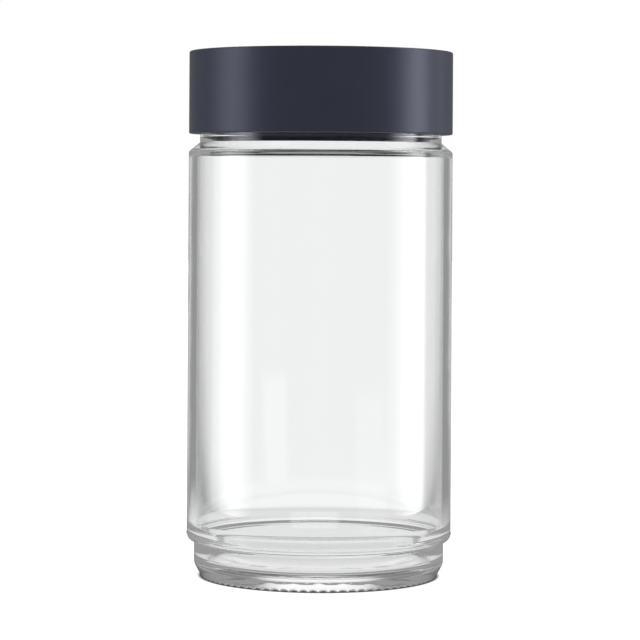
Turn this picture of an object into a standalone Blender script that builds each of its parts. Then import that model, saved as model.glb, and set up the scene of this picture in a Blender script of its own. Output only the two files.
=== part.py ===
"""A glass storage jar with a screw lid, closed. Metres, +Z up.

The origin is on the jar's axis in the plane that it stands on. The jar is turned about +Z.
The lid unscrews anticlockwise seen from above, and climbs one THREAD_LEAD a turn.
"""

import math

import bmesh
import bpy
from mathutils import Matrix, Vector

MM = 0.001

# Glass body
BODY_RADIUS = 50.0 * MM
BODY_HEIGHT = 160.4 * MM
BODY_WALL = 3.1 * MM
SHOULDER_HEIGHT = 3.4 * MM
NECK_WALL = 3.2 * MM
NECK_SHOWING = 3.3 * MM
RIM_ROUND = 1.2 * MM
SHOULDER_ROUND = 1.2 * MM
NECK_FOOT_ROUND = 0.6 * MM

# Foot of the glass, drawn in so that it nests in the lid of a jar below
FOOT_STEP = 2.75 * MM
FOOT_HEIGHT = 12.8 * MM
FOOT_WALL = 3.6 * MM
FOOT_UNDERCUT = 1.0 * MM
FOOT_CORNER_ROUND = 0.25 * MM
BODY_CORNER_ROUND = 2.7 * MM
HEEL_WIDTH = 2.8 * MM
HEEL_HEIGHT = 5.0 * MM
HEEL_ROUND = 4.0 * MM
STANDING_WIDTH = 3.2 * MM
PUNT_RISE = 1.4 * MM
FLOOR_HEIGHT = 7.6 * MM
FLOOR_ROUND = 2.2 * MM
FLARE_FOOT = 11.5 * MM
FLARE_HEAD = 19.5 * MM
FLARE_ROUND = 8.0 * MM

# Lid, a single moulding
LID_HEIGHT = 31.2 * MM
LID_WALL = 2.55 * MM
LID_PLATE = 2.2 * MM
LID_EDGE_ROUND = 0.6 * MM
STACK_DEPTH = 5.0 * MM
STACK_CLEARANCE = 0.6 * MM
PLUG_DEPTH = 6.0 * MM
PLUG_WALL = 1.6 * MM
PLUG_TIP_ROUND = 0.5 * MM
PLUG_CLEARANCE = 0.6 * MM
LID_INNER_ROUND = 0.9 * MM

# Silicone seal between the lid's plate and the rim
SEAL_THICKNESS = 1.8 * MM
SEAL_SIDE_CLEARANCE = 0.45 * MM
SEAL_ROUND = 0.5 * MM
SEAT_GAP = 0.3 * MM

# Screw thread, in several starts, as round beads on the neck and inside the lid
THREAD_STARTS = 3
THREAD_PITCH = 6.0 * MM
THREAD_DEPTH = 1.3 * MM
THREAD_CLEARANCE = 0.35 * MM
THREAD_FOOT = 6.8 * MM
BEAD_SHARE_OF_PITCH = 0.27
NECK_BEAD_ANGLE = math.radians(105)
LID_BEAD_ANGLE = math.radians(75)
LID_BEAD_LAG = math.radians(15)
BEAD_TIP_ANGLE = math.radians(12)
BEAD_BLUNT_ANGLE = math.radians(3)

# Fineness of the turned shapes and of the beads
TURN_STEPS = 60
ROUND_STEP = math.radians(30)
BEAD_STEP = math.radians(7.5)
BEAD_ROUNDNESS = 2
MERGE_DISTANCE = 0.01 * MM

# Which way a bead's tips sink into the wall that carries it
INWARDS = -1
OUTWARDS = 1

# What follows from the sizes above, from the lid's wall inwards
LID_RADIUS = BODY_RADIUS
LID_BORE = LID_RADIUS - LID_WALL
NECK_CREST = LID_BORE - THREAD_CLEARANCE
NECK_RADIUS = NECK_CREST - THREAD_DEPTH
LID_CREST = LID_BORE - THREAD_DEPTH
MOUTH_RADIUS = NECK_RADIUS - NECK_WALL
PLUG_RADIUS = MOUTH_RADIUS - PLUG_CLEARANCE
BODY_BORE = BODY_RADIUS - BODY_WALL
FOOT_RADIUS = BODY_RADIUS - FOOT_STEP
FOOT_BORE = FOOT_RADIUS - FOOT_WALL
STANDING_RADIUS = FOOT_RADIUS - HEEL_WIDTH
STACK_RADIUS = FOOT_RADIUS + STACK_CLEARANCE

# Heights, from the foot upwards
BODY_FOOT = FOOT_HEIGHT + FOOT_UNDERCUT
NECK_FOOT = BODY_HEIGHT + SHOULDER_HEIGHT
LID_FOOT = NECK_FOOT + NECK_SHOWING
LID_TOP = LID_FOOT + LID_HEIGHT
STACK_FLOOR = LID_TOP - STACK_DEPTH
PLATE_UNDERSIDE = STACK_FLOOR - LID_PLATE
SEAL_FOOT = PLATE_UNDERSIDE - SEAT_GAP - SEAL_THICKNESS
RIM_HEIGHT = SEAL_FOOT - SEAT_GAP

# The two threads are one helix, the lid's lower by THREAD_DROP so that it seats under the neck's
THREAD_LEAD = THREAD_STARTS * THREAD_PITCH
BEAD_RADIUS = BEAD_SHARE_OF_PITCH * THREAD_PITCH
NECK_BEAD_CENTRE = NECK_CREST - BEAD_RADIUS
LID_BEAD_CENTRE = LID_CREST + BEAD_RADIUS
THREAD_DROP = math.sqrt(
    (2 * BEAD_RADIUS + SEAT_GAP) ** 2 - (LID_BEAD_CENTRE - NECK_BEAD_CENTRE) ** 2
)


def clear_scene():
    for obj in list(bpy.data.objects):
        bpy.data.objects.remove(obj, do_unlink=True)


def new_collection(name):
    collection = bpy.data.collections.new(name)
    bpy.context.scene.collection.children.link(collection)
    return collection


def principled(name, colour, roughness, transmission=0.0, ior=1.5):
    material = bpy.data.materials.new(name)
    material.use_nodes = True
    shader = material.node_tree.nodes["Principled BSDF"]
    shader.inputs["Base Color"].default_value = (*colour, 1.0)
    shader.inputs["Roughness"].default_value = roughness
    shader.inputs["Metallic"].default_value = 0.0
    shader.inputs["Transmission Weight"].default_value = transmission
    shader.inputs["IOR"].default_value = ior
    material.diffuse_color = (*colour, 1.0)
    return material


def rounded_corner(before, corner, after, radius):
    """The points of the arc that rounds a corner, in the order of the outline."""
    towards_before = (before - corner).normalized()
    towards_after = (after - corner).normalized()
    half_angle = towards_before.angle(towards_after) / 2
    middle = (towards_before + towards_after).normalized()
    centre = corner + middle * (radius / math.sin(half_angle))
    reach = radius / math.tan(half_angle)
    first = (corner + towards_before * reach - centre).normalized()
    last = (corner + towards_after * reach - centre).normalized()
    sweep = math.pi - 2 * half_angle
    steps = max(1, math.ceil(sweep / ROUND_STEP))
    return [centre + radius * first.slerp(last, i / steps) for i in range(steps + 1)]


def outline(corners, closed=False):
    """Points of a turned outline from its corners, each a radius, a height and a rounding."""
    places = [Vector((radius, height)) for radius, height, _ in corners]
    points = []
    for i, (_, _, rounding) in enumerate(corners):
        at_an_end = not closed and i in (0, len(corners) - 1)
        if at_an_end or rounding == 0:
            points.append(places[i])
            continue
        after = places[(i + 1) % len(places)]
        points += rounded_corner(places[i - 1], places[i], after, rounding)
    return points


def turned(name, points, material, collection, closed=False):
    """An object that turns an outline, drawn at +X down its outer side, about the Z axis."""
    edges = [(i, i + 1) for i in range(len(points) - 1)]
    if closed:
        edges.append((len(points) - 1, 0))
    mesh = bpy.data.meshes.new(name)
    mesh.from_pydata([(p.x, 0.0, p.y) for p in points], edges, [])
    mesh.materials.append(material)
    obj = bpy.data.objects.new(name, mesh)
    collection.objects.link(obj)
    screw = obj.modifiers.new("turn", "SCREW")
    screw.axis = "Z"
    screw.angle = math.tau
    screw.steps = TURN_STEPS
    screw.render_steps = TURN_STEPS
    screw.use_merge_vertices = True
    screw.merge_threshold = MERGE_DISTANCE
    screw.use_smooth_shade = True
    return obj


def bead(name, centre_radius, sinks, first_angle, first_height, sweep, collection):
    """One start of the thread: a round bead on a helix, tapered to its two tips, as a mesh."""
    count = math.ceil(sweep / BEAD_STEP)
    curve = bpy.data.curves.new(name, "CURVE")
    curve.dimensions = "3D"
    curve.bevel_depth = BEAD_RADIUS
    curve.bevel_resolution = BEAD_ROUNDNESS
    curve.use_fill_caps = True
    spline = curve.splines.new("POLY")
    spline.points.add(count)
    for i, point in enumerate(spline.points):
        turned_by = sweep * i / count
        from_tip = min(turned_by, sweep - turned_by)
        grown = min(1.0, (from_tip + BEAD_BLUNT_ANGLE) / BEAD_TIP_ANGLE)
        taper = math.sin(grown * math.pi / 2)
        radius = centre_radius + (1 - taper) * BEAD_RADIUS * sinks
        angle = first_angle + turned_by
        height = first_height + THREAD_LEAD * turned_by / math.tau
        point.co = (radius * math.cos(angle), radius * math.sin(angle), height, 1.0)
        point.radius = taper
    drawn = bpy.data.objects.new(name, curve)
    collection.objects.link(drawn)
    return as_cutter(drawn, collection)


def as_cutter(drawn, collection):
    """A curve made into a closed, hidden mesh that a Boolean can use."""
    graph = bpy.context.evaluated_depsgraph_get()
    mesh = bpy.data.meshes.new_from_object(drawn.evaluated_get(graph))
    welded = bmesh.new()
    welded.from_mesh(mesh)
    bmesh.ops.remove_doubles(welded, verts=welded.verts, dist=MERGE_DISTANCE)
    bmesh.ops.recalc_face_normals(welded, faces=welded.faces)
    welded.to_mesh(mesh)
    welded.free()
    solid = bpy.data.objects.new(drawn.name + "_solid", mesh)
    solid.matrix_world = drawn.matrix_world
    collection.objects.link(solid)
    curve = drawn.data
    bpy.data.objects.remove(drawn, do_unlink=True)
    bpy.data.curves.remove(curve)
    solid.hide_render = True
    solid.display_type = "WIRE"
    return solid


def add_thread(obj, centre_radius, sinks, first_height, lag, sweep, cutters):
    """Joins every start of a thread to the object that carries it."""
    for start in range(THREAD_STARTS):
        first_angle = math.tau * start / THREAD_STARTS + lag
        height = first_height + THREAD_LEAD * lag / math.tau
        name = f"{obj.name}_bead_{start + 1}"
        part = bead(name, centre_radius, sinks, first_angle, height, sweep, cutters)
        union = obj.modifiers.new(f"start {start + 1}", "BOOLEAN")
        union.operation = "UNION"
        union.solver = "EXACT"
        union.object = part


def jar_outline():
    """From the middle of the floor up the inside, over the rim and down to the punt."""
    shoulder_lean = math.atan2(BODY_RADIUS - NECK_RADIUS, SHOULDER_HEIGHT)
    inside_corner = BODY_WALL * math.tan(shoulder_lean / 2)
    return outline(
        [
            (0, FLOOR_HEIGHT, 0),
            (FOOT_BORE, FLOOR_HEIGHT, FLOOR_ROUND),
            (FOOT_BORE, FLARE_FOOT, FLARE_ROUND),
            (BODY_BORE, FLARE_HEAD, FLARE_ROUND),
            (BODY_BORE, BODY_HEIGHT - inside_corner, SHOULDER_ROUND),
            (MOUTH_RADIUS, NECK_FOOT - inside_corner, SHOULDER_ROUND),
            (MOUTH_RADIUS, RIM_HEIGHT, RIM_ROUND),
            (NECK_RADIUS, RIM_HEIGHT, RIM_ROUND),
            (NECK_RADIUS, NECK_FOOT, NECK_FOOT_ROUND),
            (BODY_RADIUS, BODY_HEIGHT, SHOULDER_ROUND),
            (BODY_RADIUS, BODY_FOOT, BODY_CORNER_ROUND),
            (FOOT_RADIUS, FOOT_HEIGHT, FOOT_CORNER_ROUND),
            (FOOT_RADIUS, HEEL_HEIGHT, HEEL_ROUND),
            (STANDING_RADIUS, 0, 0),
            (STANDING_RADIUS - STANDING_WIDTH, 0, 0),
            (0, PUNT_RISE, 0),
        ]
    )


def lid_outline():
    """From the middle of the stacking recess out over the rim, down the side and back under."""
    return outline(
        [
            (0, STACK_FLOOR, 0),
            (STACK_RADIUS, STACK_FLOOR, LID_INNER_ROUND),
            (STACK_RADIUS, LID_TOP, LID_EDGE_ROUND),
            (LID_RADIUS, LID_TOP, LID_EDGE_ROUND),
            (LID_RADIUS, LID_FOOT, LID_EDGE_ROUND),
            (LID_BORE, LID_FOOT, LID_EDGE_ROUND),
            (LID_BORE, PLATE_UNDERSIDE, 0),
            (PLUG_RADIUS, PLATE_UNDERSIDE, 0),
            (PLUG_RADIUS, PLATE_UNDERSIDE - PLUG_DEPTH, PLUG_TIP_ROUND),
            (PLUG_RADIUS - PLUG_WALL, PLATE_UNDERSIDE - PLUG_DEPTH, PLUG_TIP_ROUND),
            (PLUG_RADIUS - PLUG_WALL, PLATE_UNDERSIDE, LID_INNER_ROUND),
            (0, PLATE_UNDERSIDE, 0),
        ]
    )


def seal_outline():
    inner = PLUG_RADIUS + SEAL_SIDE_CLEARANCE
    outer = LID_BORE - SEAL_SIDE_CLEARANCE
    top = SEAL_FOOT + SEAL_THICKNESS
    return outline(
        [
            (inner, top, SEAL_ROUND),
            (outer, top, SEAL_ROUND),
            (outer, SEAL_FOOT, SEAL_ROUND),
            (inner, SEAL_FOOT, SEAL_ROUND),
        ],
        closed=True,
    )


def joint_axis(name, collection, parent=None):
    """An empty at the lid's foot, on the axis that a moving piece turns about or lifts along."""
    empty = bpy.data.objects.new(name, None)
    empty.empty_display_type = "SINGLE_ARROW"
    empty.empty_display_size = LID_HEIGHT
    collection.objects.link(empty)
    if parent:
        empty.parent = parent
    else:
        empty.location = (0, 0, LID_FOOT)
    return empty


def carried_by(obj, empty):
    """Parents a piece to its joint's empty, and leaves the piece where it is."""
    obj.parent = empty
    obj.matrix_parent_inverse = Matrix.Translation((0, 0, -LID_FOOT))


def main():
    clear_scene()
    jar_parts = new_collection("glass storage jar")
    cutters = new_collection("cutters")
    glass = principled("clear glass", (0.93, 0.95, 0.94), 0.02, transmission=1.0, ior=1.52)
    plastic = principled("slate plastic", (0.045, 0.051, 0.066), 0.42)
    silicone = principled("translucent silicone", (0.72, 0.73, 0.72), 0.5)

    jar = turned("glass_jar", jar_outline(), glass, jar_parts)
    lid = turned("lid", lid_outline(), plastic, jar_parts)
    seal = turned("seal_ring", seal_outline(), silicone, jar_parts, closed=True)

    neck_thread_foot = LID_FOOT + THREAD_FOOT
    lid_thread_foot = neck_thread_foot - THREAD_DROP
    add_thread(jar, NECK_BEAD_CENTRE, INWARDS, neck_thread_foot, 0.0, NECK_BEAD_ANGLE, cutters)
    add_thread(
        lid, LID_BEAD_CENTRE, OUTWARDS, lid_thread_foot, LID_BEAD_LAG, LID_BEAD_ANGLE, cutters
    )

    lift = joint_axis("lid_lift_axis", jar_parts)
    turn = joint_axis("lid_turn_axis", jar_parts, parent=lift)
    carried_by(seal, lift)
    carried_by(lid, turn)

    print(f"neck radius {NECK_RADIUS / MM:.2f} mm, mouth radius {MOUTH_RADIUS / MM:.2f} mm")
    print(f"rim at {RIM_HEIGHT / MM:.2f} mm, lid from {LID_FOOT / MM:.2f} to {LID_TOP / MM:.2f} mm")
    print(f"lid climbs {THREAD_LEAD / MM:.1f} mm a turn, thread drop {THREAD_DROP / MM:.2f} mm")


main()
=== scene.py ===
# %% [markdown]
# # A glass storage jar with a screw lid
#
# The jar is one piece of clear glass, turned about an upright axis. A plastic lid screws onto its
# neck, and a silicone ring in the lid closes on the rim. All three are round, so each one is drawn
# as an outline and turned. The packed model gives the places and the outer sizes, and this script
# gives the surfaces.

# %% The packed model is the frame
import math

import bmesh
import bpy
import numpy as np
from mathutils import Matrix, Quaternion, Vector


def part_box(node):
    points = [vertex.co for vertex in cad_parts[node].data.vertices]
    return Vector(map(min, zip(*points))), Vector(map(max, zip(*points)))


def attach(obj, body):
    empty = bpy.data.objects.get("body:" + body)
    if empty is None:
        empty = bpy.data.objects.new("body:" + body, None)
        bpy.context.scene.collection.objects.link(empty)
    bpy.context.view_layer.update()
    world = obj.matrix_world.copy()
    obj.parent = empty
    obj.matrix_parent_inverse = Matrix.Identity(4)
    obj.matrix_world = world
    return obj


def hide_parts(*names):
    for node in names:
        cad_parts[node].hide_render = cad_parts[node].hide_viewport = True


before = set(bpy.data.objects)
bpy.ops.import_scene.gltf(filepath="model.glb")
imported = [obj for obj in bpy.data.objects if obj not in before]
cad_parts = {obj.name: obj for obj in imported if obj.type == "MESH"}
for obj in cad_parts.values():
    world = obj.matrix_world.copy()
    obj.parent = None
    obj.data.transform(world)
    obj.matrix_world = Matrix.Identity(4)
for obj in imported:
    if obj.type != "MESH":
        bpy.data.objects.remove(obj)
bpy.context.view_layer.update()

MM = 0.001
CM = 0.01

# %% [markdown]
# ## The camera
#
# The jar's sides stay parallel in the photograph from the lid to the foot, so the camera looked
# level and the picture was cropped low, which a lens shift repeats. The lid's lower edge curves
# upwards and the foot curves down, which gives the camera's height and distance. The jar leans by
# a third of a degree in the picture, so the camera is rolled by as much. All these values come
# from a least-squares fit to the edges of the lid, the body and the foot.

# %% The camera, fitted to the photograph
FRAME_SIDE = 640
PIXELS_AT_A_METRE = 2633.8
HORIZON_COLUMN = 320.6
HORIZON_ROW = 182.65
CAMERA_DISTANCE = 1.0
CAMERA_HEIGHT = 0.1488
CAMERA_ROLL = math.radians(0.33)

camera = bpy.data.objects.new("camera", bpy.data.cameras.new("camera"))
bpy.context.scene.collection.objects.link(camera)
camera.location = (0.0, -CAMERA_DISTANCE, CAMERA_HEIGHT)
looks_along = Vector((0.0, 1.0, 0.0))
camera.rotation_mode = "QUATERNION"
roll = Quaternion((0.0, 0.0, 1.0), CAMERA_ROLL)
camera.rotation_quaternion = looks_along.to_track_quat("-Z", "Y") @ roll
camera.data.lens = PIXELS_AT_A_METRE * camera.data.sensor_width / FRAME_SIDE
camera.data.shift_x = 0.5 - HORIZON_COLUMN / FRAME_SIDE
camera.data.shift_y = HORIZON_ROW / FRAME_SIDE - 0.5
bpy.context.scene.camera = camera
bpy.context.scene.view_settings.view_transform = "Standard"
print(f"lens {camera.data.lens:.1f} mm, shifted {camera.data.shift_y:.3f}")

# %% [markdown]
# ## Shader maths in plain expressions
#
# A material is a graph of nodes. Written out node by node it is long and hard to read, so one
# small class wraps a socket, and an operator on it adds the Math node that it stands for. Every
# other node comes from one method, which sets the node's settings first, because they can change
# its sockets, and then fills the sockets with values or links.

# %% A socket that understands arithmetic, and a tree that makes nodes
class Wire:
    """A socket's value in an expression, such as 1 - mask * 0.5."""

    def __init__(self, tree, socket):
        self.tree = tree
        self.socket = socket

    def __add__(self, other):
        return self.tree.maths("ADD", self, other)

    def __sub__(self, other):
        return self.tree.maths("SUBTRACT", self, other)

    def __rsub__(self, other):
        return self.tree.maths("SUBTRACT", other, self)

    def __mul__(self, other):
        return self.tree.maths("MULTIPLY", self, other)

    __radd__ = __add__
    __rmul__ = __mul__


class ShaderTree:
    """The node tree of a material, a lamp or the world."""

    def __init__(self, owner):
        owner.use_nodes = True
        self.tree = owner.node_tree
        self.tree.nodes.clear()

    def node(self, kind, settings=None, sockets=None, out=0):
        """Adds a node, gives it its settings, then its sockets' values or links."""
        made = self.tree.nodes.new(kind)
        for name, value in (settings or {}).items():
            setattr(made, name, value)
        for name, value in (sockets or {}).items():
            if isinstance(value, Wire):
                self.tree.links.new(value.socket, made.inputs[name])
            else:
                made.inputs[name].default_value = value
        return Wire(self, made.outputs[out]) if made.outputs else None

    def maths(self, operation, *values):
        return self.node("ShaderNodeMath", {"operation": operation}, dict(enumerate(values)))

    def ramp(self, value, low, high, first=0.0, last=1.0):
        """A smooth step from first to last while the value goes from low to high."""
        settings = {"interpolation_type": "SMOOTHSTEP"}
        sockets = {"Value": value, "From Min": low, "From Max": high, "To Min": first, "To Max": last}
        return self.node("ShaderNodeMapRange", settings, sockets)

    def blend(self, factor, first, last):
        """A colour between two colours. The node's sockets share names, so they go by number."""
        settings = {"data_type": "RGBA"}
        return self.node("ShaderNodeMix", settings, {0: factor, 6: first, 7: last}, out=2)

    def noise(self, scale, detail=2.0, roughness=0.5):
        """Noise from 0 to 1 over the object's own coordinates, in cycles a metre."""
        place = self.node("ShaderNodeTexCoord", out="Object")
        sockets = {"Vector": place, "Scale": scale, "Detail": detail, "Roughness": roughness}
        return self.node("ShaderNodeTexNoise", {}, sockets)

    def light_path(self, name):
        return self.node("ShaderNodeLightPath", out=name)

    def bump(self, height, distance):
        sockets = {"Height": height, "Distance": distance, "Strength": 1.0}
        return self.node("ShaderNodeBump", {}, sockets)

    def finish(self, shader, kind="ShaderNodeOutputMaterial"):
        self.node(kind, {}, {"Surface": shader})


def grey(level):
    """A colour socket's value for a level of grey."""
    return (level, level, level, 1.0)


print("operators:", [name for name in vars(Wire) if name.startswith("__")][2:])

# %% [markdown]
# ## The studio
#
# Clear glass shows nothing but its surroundings, so the room does the drawing. Behind the jar it
# is white and to the sides it is darker: the middle of the glass then stays clear while its edges,
# which bend what lies behind them sideways, turn grey. The bright sectors lie behind the jar for
# each of the directions that it is usually looked at from. For the views from above they lie on
# the floor, and rays that glass has bent steeply upwards see a dark ceiling, which draws the
# shoulder and the foot. A node can tell the rays that the camera sends out, which see plain white,
# from those that glass has bent.

# %% The sectors of the room that are bright, by direction
LEVEL_AZIMUTHS = (0.0, 90.0)
# The views from above, and the distances on the floor over which the sector behind them fades
STEEP_AZIMUTHS = {45.0: (0.12, 0.38), 225.0: (0.80, 1.12)}
SECTOR_CORE = math.radians(9)
SECTOR_EDGE = math.radians(24)
STEEP_EDGE = math.radians(15)
SIDE_LEVEL = 0.30
LEVEL_TO = 0.16
STEEP_FROM = 0.44
STEEP_LEVEL = 0.16
ROOM_MIRRORED = 0.015
BACK_MIRRORED = 0.26
MIRRORED_FRONT_TO = -0.1
MIRRORED_BACK_FROM = 0.6


def sectors(tree, direction, azimuths, edge=SECTOR_EDGE):
    """1 in the sectors behind the jar for these azimuths and 0 between them."""
    flat = tree.node(
        "ShaderNodeVectorMath", {"operation": "MULTIPLY"}, {0: direction, 1: (1.0, 1.0, 0.0)}
    )
    level_direction = tree.node("ShaderNodeVectorMath", {"operation": "NORMALIZE"}, {0: flat})
    brightest = None
    for azimuth in azimuths:
        angle = math.radians(azimuth)
        towards = (-math.sin(angle), math.cos(angle), 0.0)
        sockets = {0: level_direction, 1: towards}
        cosine = tree.node("ShaderNodeVectorMath", {"operation": "DOT_PRODUCT"}, sockets, out="Value")
        sector = tree.ramp(cosine, math.cos(edge), math.cos(SECTOR_CORE))
        brightest = tree.maths("MAXIMUM", brightest, sector) if brightest else sector
    return brightest


def mirrored_room(tree, direction):
    """What a mirrored ray sees: little in front of the jar, more behind it."""
    towards = tree.node("ShaderNodeVectorMath", {"operation": "NORMALIZE"}, {0: direction})
    backwards = tree.node("ShaderNodeSeparateXYZ", {}, {0: towards}, out="Y")
    return tree.ramp(backwards, MIRRORED_FRONT_TO, MIRRORED_BACK_FROM, ROOM_MIRRORED, BACK_MIRRORED)


print("bright sectors for views from", LEVEL_AZIMUTHS, "and from above", [*STEEP_AZIMUTHS])

# %% [markdown]
# The world answers each kind of ray in its own way. The camera sees white. Glass sees the sectors,
# which give way to the dark ceiling as the rays get steeper. A mirrored ray sees a dim room, so
# that no veil lies over the jar apart from the lamps' strips. Diffuse surfaces get a soft even
# fill.

# %% The world
ROOM_FILL = 0.50

world = bpy.data.worlds.new("studio")
bpy.context.scene.world = world
room = ShaderTree(world)
ray = room.node("ShaderNodeTexCoord", out="Generated")
ray_height = room.node("ShaderNodeSeparateXYZ", {}, {0: ray}, out="Z")
steep = room.ramp(room.maths("ABSOLUTE", ray_height), LEVEL_TO, STEEP_FROM)
through_glass = room.light_path("Is Transmission Ray")
level_pattern = SIDE_LEVEL + (1 - SIDE_LEVEL) * sectors(room, ray, LEVEL_AZIMUTHS)
pattern = level_pattern + (STEEP_LEVEL - level_pattern) * steep
mirrored = room.light_path("Is Reflection Ray") * room.light_path("Is Glossy Ray")
room_level = (
    room.light_path("Is Camera Ray")
    + through_glass * pattern
    + mirrored * mirrored_room(room, ray)
    + room.light_path("Is Diffuse Ray") * ROOM_FILL
)
room.finish(
    room.node("ShaderNodeBackground", {}, {"Color": grey(1.0), "Strength": room_level}),
    "ShaderNodeOutputWorld",
)
print(f"room fill {ROOM_FILL}, mirrored {ROOM_MIRRORED} in front and {BACK_MIRRORED} behind")

# %% [markdown]
# The floor is matt and pale. It carries the jar's shadow in its diffuse part, and for the camera
# it also glows a little, so that it meets the white room without a line. For rays that glass has
# bent it shows the same sectors as the room, and one even tone right under the jar, because
# sectors that met there would show as a star through the clear base. A painted shadow lies in a
# ring where the heel stands on it: the floor's colour turns dark there and its glow drops, for the
# camera and for rays through the glass.

# %% The floor
FLOOR_REACH = 4.0
FLOOR_COLOUR = grey(0.80)
# The colour of the painted contact shadow, a dark ring on the floor where the heel stands
FLOOR_PAINTED_SHADOW = (0.03, 0.028, 0.025, 1.0)
FLOOR_GLOW = 0.62
NEAR_FLOOR = 0.5
FAR_FLOOR = 3.0
UNDER_LEVEL = 0.80
UNDER_FADE = (0.08, 0.30)
SECTORS_FADE = (0.06, 0.18)
# Where the painted contact shadow lies and how far it reaches, the share of the floor's colour and glow
# that it leaves, and its level for rays through glass
CONTACT_RADIUS = 0.0425
CONTACT_REACH = 0.0040
LEFT_IN_PAINTED_SHADOW = 0.05
PAINTED_SHADOW_THROUGH_GLASS = 0.4


def floor_material():
    material = bpy.data.materials.new("pale floor")
    tree = ShaderTree(material)
    place = tree.node("ShaderNodeNewGeometry", out="Position")
    from_axis = tree.node("ShaderNodeVectorMath", {"operation": "LENGTH"}, {0: place}, out="Value")
    beside = tree.maths("ABSOLUTE", from_axis - CONTACT_RADIUS)
    # Painted contact shadow: near the heel's ring the matt colour turns dark, and rays through glass see
    # a darker ring too
    outside_painted_shadow = tree.ramp(beside, CONTACT_REACH / 2, CONTACT_REACH, first=LEFT_IN_PAINTED_SHADOW)
    bent_outside_painted_shadow = tree.ramp(beside, CONTACT_REACH / 2, CONTACT_REACH, first=PAINTED_SHADOW_THROUGH_GLASS)
    matt_colour = tree.blend(outside_painted_shadow, FLOOR_PAINTED_SHADOW, FLOOR_COLOUR)
    matt = tree.node("ShaderNodeBsdfDiffuse", {}, {"Color": matt_colour})
    far = tree.ramp(from_axis, NEAR_FLOOR, FAR_FLOOR)
    under = tree.ramp(from_axis, *UNDER_FADE, first=UNDER_LEVEL, last=0.0)
    # The camera glow drops in the painted contact shadow as well
    glow = tree.light_path("Is Camera Ray") * (FLOOR_GLOW + (1 - FLOOR_GLOW) * far) * outside_painted_shadow
    glowing = tree.node("ShaderNodeEmission", {}, {"Color": grey(1.0), "Strength": glow})
    seen = tree.node("ShaderNodeAddShader", {}, {0: matt, 1: glowing})
    away = tree.ramp(from_axis, *SECTORS_FADE)
    bright = tree.maths("MAXIMUM", sectors(tree, place, LEVEL_AZIMUTHS) * away, under)
    for azimuth, fade in STEEP_AZIMUTHS.items():
        sector = sectors(tree, place, (azimuth,), STEEP_EDGE)
        near = tree.ramp(from_axis, *fade, first=1.0, last=0.0)
        bright = tree.maths("MAXIMUM", bright, sector * near * away)
    pattern = SIDE_LEVEL + (1 - SIDE_LEVEL) * bright
    bent = tree.light_path("Is Transmission Ray")
    mirrored = tree.light_path("Is Reflection Ray") * tree.light_path("Is Glossy Ray")
    level = bent * pattern * bent_outside_painted_shadow + mirrored * mirrored_room(tree, place)
    told = tree.node("ShaderNodeEmission", {}, {"Color": grey(1.0), "Strength": level})
    tree.finish(tree.node("ShaderNodeMixShader", {}, {0: bent + mirrored, 1: seen, 2: told}))
    return material


floor_mesh = bpy.data.meshes.new("floor")
corners = [(x * FLOOR_REACH, y * FLOOR_REACH, 0.0) for x, y in ((-1, -1), (1, -1), (1, 1), (-1, 1))]
floor_mesh.from_pydata(corners, [], [(0, 1, 2, 3)])
floor_mesh.materials.append(floor_material())
floor = bpy.data.objects.new("floor", floor_mesh)
bpy.context.scene.collection.objects.link(floor)
print(f"floor {2 * FLOOR_REACH:.0f} m wide")

# %% [markdown]
# Two tall strip lamps stand close to the jar, one on each side. A cylinder mirrors a lamp at half
# the angle at which it stands, so the places of the two soft stripes on the photographed glass
# give the lamps' places: a stripe at the share s of the half width lies at asin(s), and its lamp
# stands at twice that angle from the camera's direction, or a little less, because it is near.
# Their edges are soft, as on a cloth softbox. Rays that glass has bent don't see them, since they
# would fill the jar's edges with white blocks from other sides. Two large lamps overhead and two
# weaker ones at the sides light the lid and the floor.

# %% The lamps
STRIP_DISTANCE = 0.24
STRIP_FOOT = 0.002
STRIP_HEIGHT = 0.42
HALF_WIDTH = 50 * MM
# Each strip's first and last share of the jar's half width, seen in the photograph, its radiance,
# and the shares of its width over which it fades in and out
STRIPS = {
    "left strip": (-0.783, -0.465, 4.1, 0.50, 0.48),
    "left panel": (-0.815, -0.690, 0.8, 0.25, 0.25),
    "right strip": (0.527, 0.808, 6.4, 0.69, 0.27),
    "right panel": (0.82, 0.94, 0.6, 0.30, 0.40),
}
STRIP_COLOUR = (0.93, 0.95, 1.0, 1.0)
# Each broad lamp's place, the point that it faces, its width, height, radiance and fades
BROAD_LAMPS = (
    ("front lamp", (0.09, -1.1, 1.0), (0, 0, 0.1), 1.3, 0.6, 1.75, (0.1, 0.1)),
    ("back lamp", (0.3, 0.9, 1.1), (0, 0, 0.12), 0.8, 0.6, 1.2, (0.2, 0.2)),
    ("side fill", (-0.55, -0.25, 0.35), (0, 0, 0.09), 0.4, 0.5, 1.0, (0.3, 0.3)),
    ("side fill", (0.55, -0.25, 0.35), (0, 0, 0.09), 0.4, 0.5, 1.1, (0.3, 0.3)),
)
LAMP_COLOUR = (1.0, 1.0, 1.0, 1.0)


def mirrored_angle(share):
    """Where a lamp at STRIP_DISTANCE stands that the glass mirrors at this share of its half width."""
    return 2 * math.asin(share) - math.asin(share * HALF_WIDTH / STRIP_DISTANCE)


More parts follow.
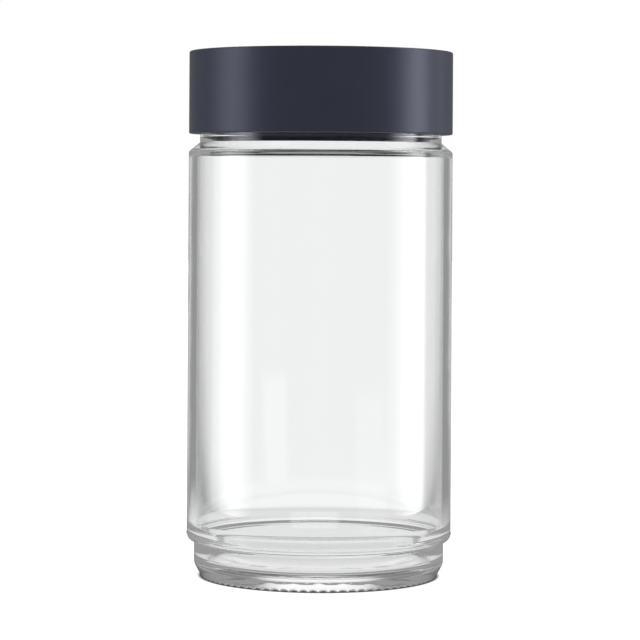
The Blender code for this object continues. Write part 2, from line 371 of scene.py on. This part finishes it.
def soft_lamp(name, place, target, width, height, radiance, fades, colour=LAMP_COLOUR):
    """A rectangular lamp whose light fades towards its upright edges."""
    light = bpy.data.lights.new(name, "AREA")
    light.shape = "RECTANGLE"
    light.size = width
    light.size_y = height
    light.energy = math.pi * width * height
    tree = ShaderTree(light)
    across = tree.node("ShaderNodeNewGeometry", out="Parametric")
    share = tree.node("ShaderNodeSeparateXYZ", {}, {0: across}, out="X")
    glow = tree.ramp(share, 0.0, fades[0], last=radiance) * tree.ramp(1 - share, 0.0, fades[1])
    tree.finish(
        tree.node("ShaderNodeEmission", {}, {"Color": colour, "Strength": glow}),
        "ShaderNodeOutputLight",
    )
    lamp = bpy.data.objects.new(name, light)
    bpy.context.scene.collection.objects.link(lamp)
    lamp.location = place
    lamp.rotation_mode = "QUATERNION"
    lamp.rotation_quaternion = (Vector(target) - lamp.location).to_track_quat("-Z", "Y")
    lamp.visible_camera = False
    return lamp


for name, (first_share, last_share, radiance, *fades) in STRIPS.items():
    first_angle, last_angle = (mirrored_angle(share) for share in (first_share, last_share))
    angle = (first_angle + last_angle) / 2
    width = 2 * STRIP_DISTANCE * math.tan(abs(last_angle - first_angle) / 2)
    middle = STRIP_FOOT + STRIP_HEIGHT / 2
    place = (STRIP_DISTANCE * math.sin(angle), -STRIP_DISTANCE * math.cos(angle), middle)
    lamp = soft_lamp(name, place, (0, 0, middle), width, STRIP_HEIGHT, radiance, fades, STRIP_COLOUR)
    lamp.visible_transmission = False
    lamp.visible_diffuse = False
    print(f"{name}: at {math.degrees(angle):.0f} degrees, {width / MM:.0f} mm wide")

for name, *measures in BROAD_LAMPS:
    lamp = soft_lamp(name, *measures)
    lamp.visible_glossy = "fill" not in name
    lamp.visible_transmission = "fill" not in name

# %% [markdown]
# ## Turned shapes
#
# Every piece here is an outline turned about the upright axis. An outline is written as its
# corners, each a radius, a height and a rounding, and the arcs are worked out. A short straight
# stretch is kept beside each arc, so that smooth shading doesn't bend the long flat wall next to
# it, which clear glass would show at once. Long walls that carry a thread are divided as well.

# %% Outlines from corners
ARC_STEP = math.radians(18)
ARC_SUPPORT = 0.15 * MM
CREASE_ANGLE = math.radians(38)
SAME_PLACE = 1e-6


def rounded_corner(before, corner, after, radius):
    """The arc that rounds a corner, with a point just outside each of its ends."""
    towards_before = (before - corner).normalized()
    towards_after = (after - corner).normalized()
    half_angle = towards_before.angle(towards_after) / 2
    middle = (towards_before + towards_after).normalized()
    centre = corner + middle * (radius / math.sin(half_angle))
    reach = radius / math.tan(half_angle)
    start = corner + towards_before * reach
    end = corner + towards_after * reach
    first, last = (start - centre).normalized(), (end - centre).normalized()
    steps = max(2, math.ceil((math.pi - 2 * half_angle) / ARC_STEP))
    arc = [centre + radius * first.slerp(last, i / steps) for i in range(steps + 1)]
    return [start + towards_before * ARC_SUPPORT, *arc, end + towards_after * ARC_SUPPORT]


def outline(corners, closed=False):
    """Points of a turned outline from its corners, each a radius, a height and a rounding."""
    places = [Vector((radius, height)) for radius, height, _ in corners]
    points = []
    for i, (_, _, rounding) in enumerate(corners):
        at_an_end = not closed and i in (0, len(corners) - 1)
        if at_an_end or rounding == 0:
            points.append(places[i])
            continue
        points += rounded_corner(places[i - 1], places[i], places[(i + 1) % len(places)], rounding)
    return points


def divided(points, wall_radius, low, high, spacing):
    """The same outline with more points along the upright wall of that radius."""
    result = []
    for point, following in zip(points, points[1:] + points[:1]):
        result.append(point)
        off_wall = max(abs(point.x - wall_radius), abs(following.x - wall_radius))
        if off_wall > SAME_PLACE or abs(following.y - point.y) < spacing:
            continue
        count = math.ceil(abs(following.y - point.y) / spacing)
        for i in range(1, count):
            height = point.y + (following.y - point.y) * i / count
            if low < height < high:
                result.append(Vector((wall_radius, height)))
    return result


def weld_axis(mesh):
    """Makes one point of the many that an outline leaves on the axis."""
    shape = bmesh.new()
    shape.from_mesh(mesh)
    on_axis = [v for v in shape.verts if math.hypot(v.co.x, v.co.y) < SAME_PLACE]
    bmesh.ops.remove_doubles(shape, verts=on_axis, dist=SAME_PLACE)
    open_edges = sum(edge.is_boundary for edge in shape.edges)
    print(f"  {open_edges} open edges, {shape.calc_volume() / CM**3:.1f} cubic cm")
    shape.to_mesh(mesh)
    shape.free()


def turned(name, points, steps, material, body, replaces, closed=False, shift=None):
    """Turns an outline into a piece that stands for a node. shift moves its points, as a thread does."""
    radii = np.array([point.x for point in points])
    heights = np.array([point.y for point in points])
    angles = np.arange(steps) * math.tau / steps
    around, radius = np.meshgrid(angles, radii, indexing="ij")
    height = np.broadcast_to(heights, radius.shape).copy()
    if shift:
        out, up = shift(around, radius, height)
        radius, height = radius + out, height + up
    grid = np.stack([radius * np.cos(around), radius * np.sin(around), height], axis=-1)
    count = len(points)
    vertices = grid.reshape(-1, 3).tolist()
    faces = []
    last_row = count if closed else count - 1
    for i in range(steps):
        here, there = i * count, (i + 1) % steps * count
        for j in range(last_row):
            k = (j + 1) % count
            faces.append((here + j, here + k, there + k, there + j))
    mesh = bpy.data.meshes.new(name)
    mesh.from_pydata(vertices, [], faces)
    mesh.materials.append(material)
    weld_axis(mesh)
    mesh.shade_smooth()
    mesh.set_sharp_from_angle(angle=CREASE_ANGLE)
    piece = bpy.data.objects.new(name, mesh)
    bpy.context.scene.collection.objects.link(piece)
    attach(piece, body)
    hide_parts(replaces)
    print(f"{name}: {len(mesh.polygons)} faces")


# %% [markdown]
# ## The screw thread
#
# The neck carries three starts of a round bead on a steep helix, and the lid has the same inside,
# lower by the drop that seats it. A bead could be a swept tube joined to the wall, but glass shows
# every face that lies inside it. So the thread is a height on the wall's own points instead: each
# point moves out by what the bead stands proud of the wall there, and the surface stays one skin.

# %% The height of a thread's beads on a wall
THREAD_STARTS = 3
THREAD_LEAD = 18.0 * MM
BEAD_RADIUS = 1.62 * MM
THREAD_DEPTH = 1.3 * MM
THREAD_CLEARANCE = 0.35 * MM
THREAD_FOOT = 6.8 * MM
THREAD_DROP = 2.70 * MM
BEAD_TIP = math.radians(12)
THREAD_SPACING = 0.36 * MM
NECK_THREAD_SWEEP = math.radians(105)
LID_THREAD_SWEEP = math.radians(75)
LID_THREAD_LAG = math.radians(15)


def thread_height(around, height, foot, lag, sweep):
    """How far a thread stands proud of its wall, at each angle and height."""
    proud = np.zeros_like(height)
    sunk = BEAD_RADIUS - THREAD_DEPTH
    for start in range(THREAD_STARTS):
        first_angle = math.tau * start / THREAD_STARTS + lag
        turned_by = (around - first_angle) % math.tau
        middle = foot + THREAD_LEAD * (turned_by + lag) / math.tau
        beside = np.abs(height - middle)
        bead = np.sqrt(np.maximum(BEAD_RADIUS**2 - beside**2, 0.0)) - sunk
        from_tip = np.minimum(turned_by, sweep - turned_by)
        taper = np.clip(from_tip / BEAD_TIP, 0.0, 1.0)
        taper = taper * taper * (3 - 2 * taper)
        proud = np.maximum(proud, np.maximum(bead, 0.0) * taper)
    return proud


print(f"{THREAD_STARTS} starts, {THREAD_LEAD / MM:.0f} mm a turn, {THREAD_DEPTH / MM} mm deep")

# %% [markdown]
# ## The glass
#
# The vessel is pressed and blown in a mould: thick at its foot, which is drawn in to nest in the
# lid of a jar below, thinner in its wall, with a short shoulder, a neck and a fire-polished rim.
# The overall sizes come from the packed model, and the others were measured on the photograph or
# taken from jars of this kind.

# %% The glass vessel's sizes
glass_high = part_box("glass_jar")[1]
lid_low, lid_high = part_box("lid")
seal_low, seal_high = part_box("seal_ring")
body_radius = glass_high.x
rim_height = glass_high.z

BODY_HEIGHT = 160.4 * MM
BODY_WALL = 3.1 * MM
SHOULDER_HEIGHT = 3.4 * MM
SHOULDER_ROUND = 1.2 * MM
UPPER_INSIDE_ROUND = 7.0 * MM
LOWER_INSIDE_ROUND = 1.2 * MM
NECK_FOOT_ROUND = 0.6 * MM
NECK_WALL = 3.2 * MM
RIM_ROUND = 1.2 * MM
LID_WALL = 2.55 * MM
FOOT_STEP = 2.75 * MM
FOOT_HEIGHT = 12.8 * MM
FOOT_UNDERCUT = 1.0 * MM
FOOT_WALL = 3.6 * MM
FOOT_CORNER_ROUND = 0.25 * MM
BODY_CORNER_ROUND = 2.7 * MM
HEEL_WIDTH = 2.8 * MM
HEEL_HEIGHT = 5.0 * MM
HEEL_ROUND = 4.0 * MM
STANDING_WIDTH = 3.2 * MM
PUNT_RISE = 1.4 * MM
FLOOR_HEIGHT = 6.1 * MM
FLOOR_ROUND = 2.2 * MM
FLARE_FOOT = 10.5 * MM
FLARE_HEAD = 19.5 * MM
FLARE_ROUND = 8.0 * MM
SEAM_HEIGHT = 16.2 * MM
SEAM_PROUD = 0.16 * MM
SEAM_WIDTH = 0.7 * MM
GROOVE_DEPTH_AT_FOOT = 0.5 * MM
FOOT_TOP_ROUND = 0.7 * MM

lid_bore = lid_high.x - LID_WALL
neck_radius = lid_bore - THREAD_CLEARANCE - THREAD_DEPTH
mouth_radius = neck_radius - NECK_WALL
body_bore = body_radius - BODY_WALL
foot_radius = body_radius - FOOT_STEP
foot_bore = foot_radius - FOOT_WALL
body_foot = FOOT_HEIGHT + FOOT_UNDERCUT
neck_foot = BODY_HEIGHT + SHOULDER_HEIGHT
print(f"neck radius {neck_radius / MM:.2f} mm, mouth {mouth_radius / MM:.2f} mm")

# %% [markdown]
# The outline runs from the middle of the inner floor up the inside, over the rim and down to the
# middle of the underside. The wide rounding of the inner shoulder darkens the band under the lid,
# as in the photograph. The jar stands on a ring of fine ridges, which keep the hot glass off the
# belt that carries it. They are a wave in the height of that ring, so they too need no joined
# shape.

# %% The glass vessel's shape
RIDGES = 78
RIDGE_HEIGHT = 0.7 * MM
STEPS_PER_RIDGE = 6


def glass_outline():
    """From the middle of the floor up the inside, over the rim and down to the punt."""
    standing_radius = foot_radius - HEEL_WIDTH
    lean = math.atan2(body_radius - neck_radius, SHOULDER_HEIGHT)
    inside_corner = BODY_WALL * math.tan(lean / 2)
    corners = [
        (0, FLOOR_HEIGHT, 0),
        (foot_bore, FLOOR_HEIGHT, FLOOR_ROUND),
        (foot_bore, FLARE_FOOT, FLARE_ROUND),
        (body_bore, FLARE_HEAD, FLARE_ROUND),
        (body_bore, BODY_HEIGHT - inside_corner, LOWER_INSIDE_ROUND),
        (mouth_radius, neck_foot - inside_corner, UPPER_INSIDE_ROUND),
        (mouth_radius, rim_height, RIM_ROUND),
        (neck_radius, rim_height, RIM_ROUND),
        (neck_radius, neck_foot, NECK_FOOT_ROUND),
        (body_radius, BODY_HEIGHT, SHOULDER_ROUND),
        (body_radius, SEAM_HEIGHT + SEAM_WIDTH, 0),
        (body_radius, SEAM_HEIGHT + SEAM_WIDTH / 2, 0),
        (body_radius + SEAM_PROUD, SEAM_HEIGHT + SEAM_WIDTH / 6, 0),
        (body_radius + SEAM_PROUD, SEAM_HEIGHT - SEAM_WIDTH / 6, 0),
        (body_radius - SEAM_PROUD / 2, SEAM_HEIGHT - SEAM_WIDTH / 2, 0),
        (body_radius - SEAM_PROUD, body_foot, BODY_CORNER_ROUND - SEAM_WIDTH),
        (foot_radius - GROOVE_DEPTH_AT_FOOT, body_foot, FOOT_CORNER_ROUND),
        (foot_radius, FOOT_HEIGHT, FOOT_TOP_ROUND),
        (foot_radius, HEEL_HEIGHT, HEEL_ROUND),
        (standing_radius + HEEL_WIDTH * 2 * RIDGE_HEIGHT / HEEL_HEIGHT, 2 * RIDGE_HEIGHT, 0),
        (standing_radius + HEEL_WIDTH * 1.5 * RIDGE_HEIGHT / HEEL_HEIGHT, 1.5 * RIDGE_HEIGHT, 0),
        (standing_radius, 0, RIDGE_HEIGHT),
        (standing_radius - STANDING_WIDTH, 0, RIDGE_HEIGHT),
        (0, PUNT_RISE, 0),
    ]
    return divided(outline(corners), neck_radius, neck_foot, rim_height, THREAD_SPACING)


def glass_shift(around, radius, height):
    """The neck's thread, and the ridges that the jar stands on."""
    on_neck = np.abs(radius - neck_radius) < SAME_PLACE
    on_neck &= (height > neck_foot + NECK_FOOT_ROUND) & (height < rim_height - RIM_ROUND)
    thread = thread_height(around, height, lid_low.z + THREAD_FOOT, 0.0, NECK_THREAD_SWEEP)
    between_ridges = (1 + np.cos(RIDGES * around)) / 2
    near_ground = np.clip(1 - height / RIDGE_HEIGHT, 0.0, 1.0)
    inside_heel = radius > foot_radius - HEEL_WIDTH - STANDING_WIDTH - SAME_PLACE
    return thread * on_neck, RIDGE_HEIGHT * between_ridges * near_ground * inside_heel


print(f"{len(glass_outline())} points in the outline, {RIDGES} ridges")

# %% [markdown]
# Glass is a Principled shader with full transmission. For shadow rays and for the soft light that
# diffuse surfaces gather, it is swapped for a nearly clear Transparent shader: light then reaches
# the floor and the seal along straight lines, which a path tracer finds at once, where bent light
# would only show as bright specks. A ray that is caught in the thick base or the rim for many
# turns ends there at a set grey, which stands in for the light that it would gather on more turns
# than a path tracer follows. A very weak slow bump gives the slight unevenness of a moulded wall.

# %% Clear glass
GLASS_COLOUR = (0.99, 0.995, 0.995, 1.0)
GLASS_IOR = 1.5
LETS_THROUGH = (0.93, 0.94, 0.94, 1.0)
LOST_AFTER = 7.5
LOST_AFTER_MIRRORED = 3.5
LOST_LEVEL = 0.34
WAVES = 55.0
WAVE_DEPTH = 0.05 * MM


def clear_glass():
    material = bpy.data.materials.new("clear glass")
    tree = ShaderTree(material)
    waves = tree.bump(tree.noise(WAVES, detail=1.0), WAVE_DEPTH)
    sockets = {
        "Base Color": GLASS_COLOUR,
        "Roughness": 0.0,
        "IOR": GLASS_IOR,
        "Transmission Weight": 1.0,
        "Normal": waves,
    }
    glass = tree.node("ShaderNodeBsdfPrincipled", {}, sockets)
    clear = tree.node("ShaderNodeBsdfTransparent", {}, {"Color": LETS_THROUGH})
    soft = tree.light_path("Is Diffuse Ray")
    straight = tree.maths("MAXIMUM", tree.light_path("Is Shadow Ray"), soft)
    long_lost = tree.maths("GREATER_THAN", tree.light_path("Ray Depth"), LOST_AFTER)
    trapped = tree.maths("GREATER_THAN", tree.light_path("Glossy Depth"), LOST_AFTER_MIRRORED)
    lost = tree.maths("MAXIMUM", long_lost, trapped)
    glint = tree.node("ShaderNodeEmission", {}, {"Color": grey(1.0), "Strength": LOST_LEVEL})
    ending = tree.node("ShaderNodeMixShader", {}, {0: lost, 1: glass, 2: glint})
    tree.finish(tree.node("ShaderNodeMixShader", {}, {0: straight, 1: ending, 2: clear}))
    return material


turned(
    "vessel",
    glass_outline(),
    RIDGES * STEPS_PER_RIDGE,
    clear_glass(),
    "jar",
    "glass_jar",
    shift=glass_shift,
)

# %% [markdown]
# ## The lid
#
# The lid is a single moulding: an upright side flush with the glass, a plate sunk below its top
# edge so that another jar nests on it, and under the plate a plug ring that steadies the seal. Its
# outside is quite plain in the photograph, a satin slate blue-grey with small, even edges, so the
# edge roundings and the finish have to carry it.

# %% The lid's sizes and shape
LID_PLATE = 2.2 * MM
LID_EDGE_ROUND = 0.6 * MM
LID_INNER_ROUND = 0.9 * MM
STACK_DEPTH = 5.0 * MM
STACK_CLEARANCE = 0.6 * MM
PLUG_DEPTH = 6.0 * MM
PLUG_WALL = 1.6 * MM
PLUG_TIP_ROUND = 0.5 * MM
PLUG_CLEARANCE = 0.6 * MM
LID_STEPS = 240

stack_floor = lid_high.z - STACK_DEPTH
plate_underside = stack_floor - LID_PLATE
plug_radius = mouth_radius - PLUG_CLEARANCE


def lid_outline():
    """From the middle of the recess out over the rim, down the side and back under the plate."""
    stack_radius = foot_radius + STACK_CLEARANCE
    plug_foot = plate_underside - PLUG_DEPTH
    corners = [
        (0, stack_floor, 0),
        (stack_radius, stack_floor, LID_INNER_ROUND),
        (stack_radius, lid_high.z, LID_EDGE_ROUND),
        (lid_high.x, lid_high.z, LID_EDGE_ROUND),
        (lid_high.x, lid_low.z, LID_EDGE_ROUND),
        (lid_bore, lid_low.z, LID_EDGE_ROUND),
        (lid_bore, plate_underside, 0),
        (plug_radius, plate_underside, 0),
        (plug_radius, plug_foot, PLUG_TIP_ROUND),
        (plug_radius - PLUG_WALL, plug_foot, PLUG_TIP_ROUND),
        (plug_radius - PLUG_WALL, plate_underside, LID_INNER_ROUND),
        (0, plate_underside, 0),
    ]
    return divided(outline(corners), lid_bore, lid_low.z, plate_underside, THREAD_SPACING)


def lid_shift(around, radius, height):
    """The lid's thread, which stands inwards from its bore."""
    on_bore = (np.abs(radius - lid_bore) < SAME_PLACE) & (height > lid_low.z + LID_EDGE_ROUND)
    foot = lid_low.z + THREAD_FOOT - THREAD_DROP
    thread = thread_height(around, height, foot, LID_THREAD_LAG, LID_THREAD_SWEEP)
    return -thread * on_bore, np.zeros_like(height)


# %% [markdown]
# The plastic has a fine moulded grain. Three things vary over it, all a little: the colour, in
# slow clouds, the roughness, in smaller ones, and the surface itself, in a grain of a fifth of a
# millimetre, which makes the highlights soft and slightly speckled.

# %% Slate plastic
SLATE = (0.031, 0.035, 0.055, 1.0)
SLATE_PALE = (0.038, 0.042, 0.066, 1.0)
SLATE_CLOUDS = 90.0
SATIN = 0.29
SATIN_RANGE = 0.12
SATIN_PATCHES = 700.0
SHEEN_LEVEL = 0.3
SHEEN_TINT = (0.86, 0.90, 1.0, 1.0)
PLASTIC_IOR = 1.5
GRAIN = 5200.0
GRAIN_DEPTH = 0.012 * MM


def slate_plastic():
    material = bpy.data.materials.new("slate plastic")
    tree = ShaderTree(material)
    colour = tree.blend(tree.noise(SLATE_CLOUDS, detail=4.0, roughness=0.6), SLATE, SLATE_PALE)
    sockets = {
        "Base Color": colour,
        "Roughness": SATIN + SATIN_RANGE * tree.noise(SATIN_PATCHES, detail=3.0),
        "IOR": PLASTIC_IOR,
        "Specular IOR Level": SHEEN_LEVEL,
        "Specular Tint": SHEEN_TINT,
        "Normal": tree.bump(tree.noise(GRAIN), GRAIN_DEPTH),
    }
    tree.finish(tree.node("ShaderNodeBsdfPrincipled", {}, sockets))
    return material


turned(
    "screw_lid",
    lid_outline(),
    LID_STEPS,
    slate_plastic(),
    "lid",
    "lid",
    shift=lid_shift,
)

# %% [markdown]
# ## The seal
#
# The ring is silicone, soft enough to close on glass that isn't quite flat. Such rings have fine
# ribs on the side that meets the rim, so the outline has two shallow grooves there. Silicone is
# cloudy rather than opaque, which subsurface scattering gives.

# %% The seal's shape and finish
SEAL_ROUND = 0.5 * MM
SEAL_GROOVES = 2
GROOVE_WIDTH = 0.7 * MM
GROOVE_DEPTH = 0.3 * MM
SEAL_SIDE_CLEARANCE = 0.45 * MM
SEAL_STEPS = 180
SILICONE = (0.70, 0.71, 0.70, 1.0)
SILICONE_PALE = (0.78, 0.79, 0.78, 1.0)
SILICONE_CLOUDS = 240.0
SILICONE_ROUGHNESS = 0.42
SILICONE_ROUGHNESS_RANGE = 0.12
SCATTERED = 0.6
SCATTER_REACH = 1.5 * MM
SILICONE_GRAIN = 3000.0
SILICONE_GRAIN_DEPTH = 0.01 * MM


def seal_outline():
    """Down the outer side, in under the grooves, up the inner side and out over the top."""
    inner = plug_radius + SEAL_SIDE_CLEARANCE
    outer = lid_bore - SEAL_SIDE_CLEARANCE
    corners = [(inner, seal_high.z, SEAL_ROUND), (outer, seal_high.z, SEAL_ROUND)]
    corners.append((outer, seal_low.z, SEAL_ROUND))
    for i in range(SEAL_GROOVES):
        middle = outer + (inner - outer) * (i + 1) / (SEAL_GROOVES + 1)
        for out, up in ((0.5, 0.0), (0.25, 1.0), (-0.25, 1.0), (-0.5, 0.0)):
            corners.append((middle + out * GROOVE_WIDTH, seal_low.z + up * GROOVE_DEPTH, 0))
    corners.append((inner, seal_low.z, SEAL_ROUND))
    return outline(corners, closed=True)


def cloudy_silicone():
    material = bpy.data.materials.new("cloudy silicone")
    tree = ShaderTree(material)
    clouds = tree.noise(SILICONE_CLOUDS, detail=3.0)
    sockets = {
        "Base Color": tree.blend(clouds, SILICONE, SILICONE_PALE),
        "Roughness": SILICONE_ROUGHNESS + SILICONE_ROUGHNESS_RANGE * clouds,
        "Subsurface Weight": SCATTERED,
        "Subsurface Scale": SCATTER_REACH,
        "Normal": tree.bump(tree.noise(SILICONE_GRAIN), SILICONE_GRAIN_DEPTH),
    }
    tree.finish(tree.node("ShaderNodeBsdfPrincipled", {}, sockets))
    return material


turned(
    "seal",
    seal_outline(),
    SEAL_STEPS,
    cloudy_silicone(),
    "seal",
    "seal_ring",
    closed=True,
)

# %% [markdown]
